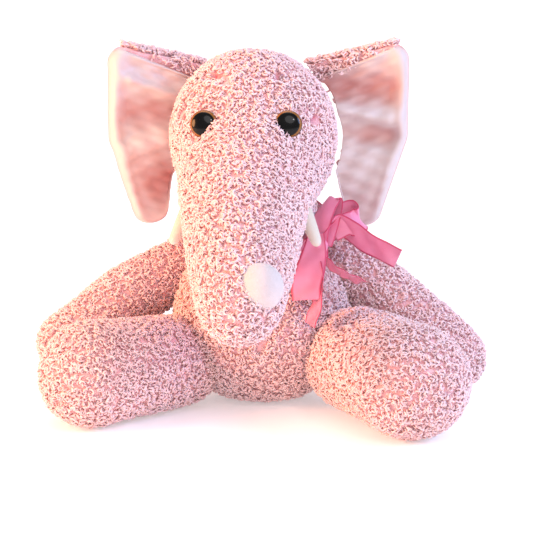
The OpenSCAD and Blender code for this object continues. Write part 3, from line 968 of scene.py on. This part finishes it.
def folds(side, x, z):
    """Depth of the satin to the front, in millimetres: ridges and hollows that run across the ear."""
    if side < 0:
        wave = (
            3.4 * bell(z, 32 - 0.4 * (x + 68), 3.2) - 4.2 * bell(z, 14, 7.5)
            + 4.6 * bell(z, -1 + 0.25 * (x + 55), 5) - 6.0 * bell(z, -22, 11) * bell(x, -44, 15)
        )
    else:
        wave = (
            4.0 * bell(z, 12 + 0.15 * (x + 55), 3.6) - 6.0 * bell(z, 25, 9)
            - 5.0 * bell(z, 2, 5.5) * bell(x, -60, 16) + 3.4 * bell(z, -20, 13)
        )
    small = 0.45 * np.sin(0.5 * x + 0.3 * z) + 0.3 * np.sin(0.8 * z - 0.3 * x + 1.0)
    small = small + 0.25 * np.sin(1.3 * z + 0.5 * x)
    fade = np.clip((x - EAR_TIP_X + 7) / 9, 0, 1) * np.clip((z + EAR_DROP) / 9, 0, 1)
    return (wave + small) * (0.15 + 0.85 * fade)


# %% Ear layers
COLS, ROWS, BAND = 120, 56, 9.0
BEHIND = HEAD_SPIN @ np.array([0, 1, 0])


def put_lining(side, name):
    """The satin: the ear's grid with its folds, and an edge that rolls back over the rim."""
    flat = ear_grid(COLS, ROWS, BAND)
    t = np.broadcast_to(np.linspace(0, 1, ROWS)[None], (COLS, ROWS))
    puff = 1.4 * bell(t, 0.9, 0.07) - 4.5 * np.clip((t - 0.93) / 0.07, 0, 1) ** 2
    front = swept(side, flat, folds(side, flat[..., 0], flat[..., 1]) + puff + 1.4)
    obj = put_mesh(f"ear_{name}_satin", front.reshape(-1, 3), sheet_faces(COLS, ROWS).tolist(), LINING)
    store(obj, "rim", bell(t, 1.0, 0.02))
    # How deep each point lies in a hollow of the folds, fading out near the rim: the amount of painted shade
    # in the satin's colour.
    store(obj, "hollow", -0.16 * folds(side, flat[..., 0], flat[..., 1]) * np.clip((1 - t) / 0.2, 0, 1))
    uv = np.stack([np.broadcast_to(np.linspace(0, 1, COLS)[:, None], (COLS, ROWS)), t], -1).reshape(-1, 2)
    map_cloth(obj, uv)
    wall = obj.modifiers.new("wall", "SOLIDIFY")
    wall.thickness, wall.offset = 0.5 * MM, 0
    a, b = flat[1:, :-1] - flat[:-1, :-1], flat[:-1, 1:] - flat[:-1, :-1]
    outline = float(np.abs(a[..., 0] * b[..., 1] - a[..., 1] * b[..., 0]).sum()) * MM**2
    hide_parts(f"ear_{name}_lining")
    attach(obj, f"ear_{name}")


def put_ear_back(side, name):
    """The plush: a thin bag behind the satin, with curls on its back and on the band above the satin."""
    flat = ear_grid(COLS, ROWS)
    x, z = flat[..., 0], flat[..., 1]
    t = np.broadcast_to(np.linspace(0, 1, ROWS)[None], (COLS, ROWS))
    flat = flat * 0.985 + np.array([-0.6, 0.1])
    front_depth = folds(side, x, z) - 0.6 - 2.0 * np.clip((t - 0.93) / 0.07, 0, 1)
    front = swept(side, flat, front_depth)
    back = swept(side, flat, 0.35 * front_depth - 4.4 + 3.0 * np.clip((t - 0.9) / 0.1, 0, 1) ** 2)
    ring = np.concatenate([front, back[:, ::-1]], 1)
    ends = [ring[k : k + 1].mean(1, keepdims=True).repeat(2 * ROWS, 1) for k in (0, COLS - 1)]
    bag = put_bag(f"ear_{name}_plush", np.concatenate([ends[0], ring, ends[1]]), GROUND)
    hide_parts(f"ear_{name}_back")
    rng = np.random.default_rng(90 + side)
    points, normals = spread(corners_of(back[:, : int(0.92 * ROWS)], False), 1.7 * MM, rng)
    normals = normals * np.sign(np.mean(normals @ BEHIND))
    shown, way = spread(corners_of(front, False), 1.5 * MM, rng)
    way = -way * np.sign(np.mean(way @ BEHIND))
    local = (shown - HEAD_MID) @ HEAD_SPIN / MM
    edge = ear_rim(400, BAND)
    edge = edge[: np.argmax(edge[:, 1]) + 1]
    order = np.argsort(edge[:, 0])
    unswept = np.interp(-np.abs(local[:, 0]) - (0 if side > 0 else 6), edge[order, 0], edge[order, 1])
    kept = (local[:, 2] > unswept - 0.5) & (np.abs(local[:, 0]) > 20)
    top_edge = swept(side, flat[:, -1], front_depth[:, -1] - 0.8)
    tip = int(np.argmin(np.abs(flat[:, -1, 0] - EAR_TIP_X) + np.abs(flat[:, -1, 1] - EAR_TOP)))
    pick = rng.uniform(0, tip, 420)
    a, f = pick.astype(int), (pick % 1)[:, None]
    on_rim = top_edge[a] * (1 - f) + top_edge[a + 1] * f
    upward = unit(UP + 0.4 * BEHIND + 0.35 * rng.normal(size=(420, 3)))
    base = np.concatenate([points, shown[kept], on_rim])
    outward = np.concatenate([normals, way[kept], upward])
    pile = put_pile(f"ear_{name}_pile", base, outward, 95 + side, height=2.6 * MM, size=1.0 * MM)
    for piece in (bag, pile):
        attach(piece, f"ear_{name}")


for side, name in ((1, "left"), (-1, "right")):
    put_lining(side, name)
    put_ear_back(side, name)

# %% [markdown]
# ## Tail and label
#
# The tail is a small stuffed tube like the limbs. The label is a folded strip of plain
# woven tape, sewn into the seam at the back, with nothing printed on it.

# %% Tail
root = PIVOT["tail_wag"]
tail_tip = root + unit(np.array([0, 18, -14])) * 0.024
tail_grid = limb_bag(root, tail_tip, 0.0045, 0.0053, rings=30, around=32, seed=14, rough=0.3)
tail_bag = put_bag("tail_bag", tail_grid, GROUND)
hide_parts("tail")
fine = {"spacing": 1.5 * MM, "height": 2.2 * MM, "size": 1.0 * MM, "thick": 0.5 * MM}
tail_pile = cover("tail_pile", tail_grid, 72, **fine)
for piece in (tail_bag, tail_pile):
    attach(piece, "tail")

# %% Label
low, high = box("care_label")
u = np.linspace(0, 1, 12)[:, None]
v = np.linspace(0, 1, 40)[None]
x = low[0] + u * (high[0] - low[0]) + 0 * v
y = low[1] + v * (high[1] - low[1]) + 0 * u
z = (low[2] + high[2]) / 2 + 1.2 * MM * np.sin(2.2 * v) * v + 0.3 * MM * np.sin(5 * u) * v
tape = np.stack([x, y, z], -1).reshape(-1, 3)
label = put_mesh("care_label_tape", tape, sheet_faces(12, 40).tolist(), LABEL)
wall = label.modifiers.new("wall", "SOLIDIFY")
wall.thickness = 0.35 * MM
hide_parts("care_label")
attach(label, "body")

# %% [markdown]
# ## Ribbon
#
# A ribbon is a strip: a middle line through the air, and at each place a direction that
# its width points in. We give both as a few knots, join them by a smooth curve, and
# store how near each point is to a woven edge.


# %% Ribbon strips
def smooth_through(knots, count):
    """A curve through the knots: a Catmull-Rom cubic between each two, worked out at once."""
    p = np.asarray(knots, float)
    p = np.concatenate([2 * p[:1] - p[1:2], p, 2 * p[-1:] - p[-2:-1]])
    u = np.linspace(0, len(p) - 3 - 1e-9, count)
    i, f = u.astype(int), (u % 1)[:, None]
    a, b, c, d = p[i], p[i + 1], p[i + 2], p[i + 3]
    return 0.5 * (2 * b + (c - a) * f + (2 * a - 5 * b + 4 * c - d) * f**2 + (3 * b - a - 3 * c + d) * f**3)


def put_ribbon(name, knots, widths_to, width, crinkle=0.3, count=70, across=13, seed=0):
    """A strip of ribbon: middle line plus a part of its width, with a slight roll and small creases."""
    line = smooth_through(knots, count) * MM
    way = unit(smooth_through(widths_to, count))
    ahead = unit(np.gradient(line, axis=0))
    way = unit(way - np.sum(way * ahead, 1, keepdims=True) * ahead)
    face = np.cross(ahead, way)
    w = np.linspace(-1, 1, across)
    wide = np.interp(np.linspace(0, 1, count), np.linspace(0, 1, len(width)), width) * MM / 2
    rng = np.random.default_rng(seed)
    wave = np.sin(np.linspace(0, 1, count)[:, None] * rng.uniform(10, 24) + w * 3 + rng.uniform(0, 6))
    points = (
        line[:, None]
        + (wide[:, None] * w)[..., None] * way[:, None]
        + ((wave * crinkle + 0.5 * w**2) * MM)[..., None] * face[:, None]
    )
    strip = put_mesh(name, points.reshape(-1, 3), sheet_faces(count, across).tolist(), RIBBON)
    store(strip, "edge", np.tile(np.abs(w), count))
    length = float(np.linalg.norm(np.diff(line, axis=0), axis=1).sum())
    long = np.repeat(np.linspace(0, length / 0.015, count), across)
    uv = np.stack([np.tile(w / 2 + 0.5, count), long], -1)
    map_cloth(strip, uv)
    wall = strip.modifiers.new("wall", "SOLIDIFY")
    wall.thickness, wall.offset = 0.3 * MM, 0
    flat = (float(wide.mean()) * 2, length)
    print(name, "flat", np.round(flat, 4).tolist())
    return strip, flat


# %% [markdown]
# The band lies gathered round the neck, in the groove between the head and the body.
# The bow is at the toy's left: a loop, a fold, a wide panel, a knot and three tails.

# %% Ribbon on the neck
neck_line = unit(np.array([-2, -14, 42]))
angle = np.linspace(0, 2 * np.pi, 25)
side_way = unit(np.cross(neck_line, [0, 1, 0]))
front_way = np.cross(neck_line, side_way)
ring_r = 34.6
circle = np.cos(angle)[:, None] * side_way + np.sin(angle)[:, None] * front_way
band_knots = neck / MM + (-2) * neck_line + ring_r * circle
band_ways = np.repeat(neck_line[None], 25, 0)
band, flat = put_ribbon("ribbon_band", band_knots, band_ways, [10.5, 10.5], 0.5, 160, 9, 3)
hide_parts("neck_ribbon")
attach(band, "body")

# %% Bow
STRIPS = {
    "ribbon_loop": (
        [[31, -33, 86], [37, -31, 94], [40, -29.5, 98], [44, -29.5, 99]]
        + [[47, -32.5, 96.5], [44.5, -35.5, 94.5], [40, -35.5, 93.5], [34, -35, 89]],
        [[0.5, 0, -0.8], [0.44, 0, -0.9], [0.44, 0, -0.9], [0.44, 0.05, -0.9]]
        + [[0.44, 0, -0.9], [0.44, 0, -0.9], [0.44, 0, -0.9], [0.5, 0, -0.8]],
        [7, 10, 11, 12, 13, 13, 11, 8],
    ),
    "ribbon_fold": (
        [[27, -40, 78], [26.5, -38, 89], [30, -35, 100], [35, -31, 106]]
        + [[34.5, -32, 102], [32, -35, 94], [29, -38, 84]],
        [[0.8, -0.5, 0.1], [0.8, -0.5, 0.1], [0.7, -0.6, 0.1], [0.5, -0.8, -0.1]]
        + [[0.8, -0.5, -0.2], [0.9, -0.4, -0.1], [0.9, -0.4, 0]],
        [10, 12, 11, 9, 10, 11, 10],
    ),
    "ribbon_tail_long": (
        [[28, -38, 88], [33, -35, 94], [38, -34, 94], [46, -37, 88.5], [55, -40, 83], [65, -42, 78.5]],
        [[0.3, -0.8, 0.5], [0.3, -0.7, 0.7], [0.25, -0.7, 0.7]]
        + [[0.3, -0.65, 0.7], [0.35, -0.65, 0.7], [0.35, -0.65, 0.7]],
        [7, 11, 14, 14, 13, 13],
    ),
    "ribbon_tail_short": (
        [[27, -42, 80], [31, -43, 77], [36, -44, 73], [42, -44, 70], [48, -43, 67]],
        [[0.3, -0.8, 0.5], [0.2, -0.9, 0.4], [0.1, -0.9, 0.4], [0.1, -1, 0.4], [0.1, -1, 0.4]],
        [8, 10, 11, 12, 12],
    ),
    "ribbon_panel": (
        [[26, -40, 90], [25, -44, 82], [23, -47, 74], [21, -50, 66], [21, -52, 60]],
        [[0.9, -0.4, 0.1], [0.95, -0.3, 0.15], [0.95, -0.3, 0.2], [0.95, -0.3, 0.2], [0.95, -0.3, 0.15]],
        [8, 12, 15, 15, 14],
    ),
    "ribbon_tail_front": (
        [[26, -45, 76], [27, -49, 68], [26.5, -51, 60], [25, -52, 54], [23, -52.5, 48]],
        [[0.6, -0.8, 0.1], [0.4, -0.9, 0.1], [0.35, -0.9, 0.1], [0.4, -0.9, 0], [0.4, -0.9, 0]],
        [8, 10, 11, 11, 11],
    ),
}
KNOT = np.array([27.5, -41.5, 81.0])
for number, (name, (knots, ways, width)) in enumerate(STRIPS.items()):
    strip, flat = put_ribbon(name, np.array(knots), ways, width, 0.35, seed=number + 7)
    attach(strip, "body")
knot_ends = (KNOT + [-1, 0, -3]) * MM, (KNOT + [1, 0, 3]) * MM
knot_grid = limb_bag(*knot_ends, 0.0056, 0.0052, rings=36, around=40, seed=5, rough=0.8)
knot = put_bag("ribbon_knot", knot_grid, RIBBON)
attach(knot, "body")
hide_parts("ribbon_bow")

# %% [markdown]
# ## Studio
#
# The toy sits on a pale floor that curves up into the backdrop. A warm soft light comes
# from one side and a cool one from the other, with a broad white one above. The camera
# is at the height of the toy's face and looks a little down at it.

# %% Floor and light
v = np.linspace(0, 1, 40)
run = np.interp(v, [0, 0.45, 1], [-1.6, 0.9, 1.6])
rise = np.where(run > 0.9, 1.6 * ((run - 0.9) / 0.7) ** 2, 0.0)
u = np.linspace(-2.2, 2.2, 12)
floor_points = np.stack(np.broadcast_arrays(u[:, None], run[None], rise[None]), -1)


def paint_paper(start):
    cloud = noise(start, place_of(start), 3)
    return {"Base_Color": cloud.mix((0.93, 0.93, 0.93, 1), (0.97, 0.97, 0.97, 1))}


glow = {"Emission_Color": (1, 1, 1, 1), "Emission_Strength": 0.3}
PAPER = finish_of("pale_paper", paint_paper, Roughness=0.9, **glow)
floor = put_mesh("floor", floor_points.reshape(-1, 3), sheet_faces(12, 40)[:, ::-1].tolist(), PAPER)


def put_light(name, place, aim, size, watts, colour):
    lamp = bpy.data.lights.new(name, "AREA")
    lamp.shape, lamp.size, lamp.energy, lamp.color = "DISK", size, watts, colour
    obj = bpy.data.objects.new(name, lamp)
    obj.location = place
    bpy.context.scene.collection.objects.link(obj)
    way = Vector(aim) - Vector(place)
    obj.rotation_mode = "QUATERNION"
    obj.rotation_quaternion = way.to_track_quat("-Z", "Y")
    return obj


put_light("warm_side", (-0.8, -0.35, 0.3), (0, -0.02, 0.09), 0.45, 11.5, (1.0, 0.46, 0.2))
put_light("cool_side", (0.8, -0.3, 0.5), (0, -0.02, 0.09), 0.5, 5.4, (0.34, 0.54, 1.0))
put_light("front_fill", (0.1, -1.1, 0.8), (0, -0.02, 0.09), 0.8, 3.8, (1.0, 0.95, 0.97))
put_light("catch_light", (0.42, -1.0, 0.75), (0, -0.02, 0.12), 0.1, 1.2, (1.0, 1.0, 1.0))
put_light("top_soft", (0.0, 0.1, 1.1), (0, 0, 0.08), 0.9, 3.6, (1.0, 0.98, 0.99))
world = bpy.data.worlds.new("studio")
bpy.context.scene.world = world
world.use_nodes = True
world.node_tree.nodes["Background"].inputs[0].default_value = (0.95, 0.95, 1.0, 1.0)
world.node_tree.nodes["Background"].inputs[1].default_value = 0.5
bpy.context.scene.view_settings.view_transform = "Standard"

# %% Camera
camera = bpy.data.cameras.new("camera")
camera.lens, camera.sensor_width = 81.05, 36.0
camera.shift_x, camera.shift_y = 0.0084, -0.0084
camera_obj = bpy.data.objects.new("camera", camera)
bpy.context.scene.collection.objects.link(camera_obj)
camera_obj.location = (0.0, -0.6066, 0.1659)
camera_obj.rotation_euler = (np.radians(81), 0, 0)
bpy.context.scene.camera = camera_obj

# %% Finish
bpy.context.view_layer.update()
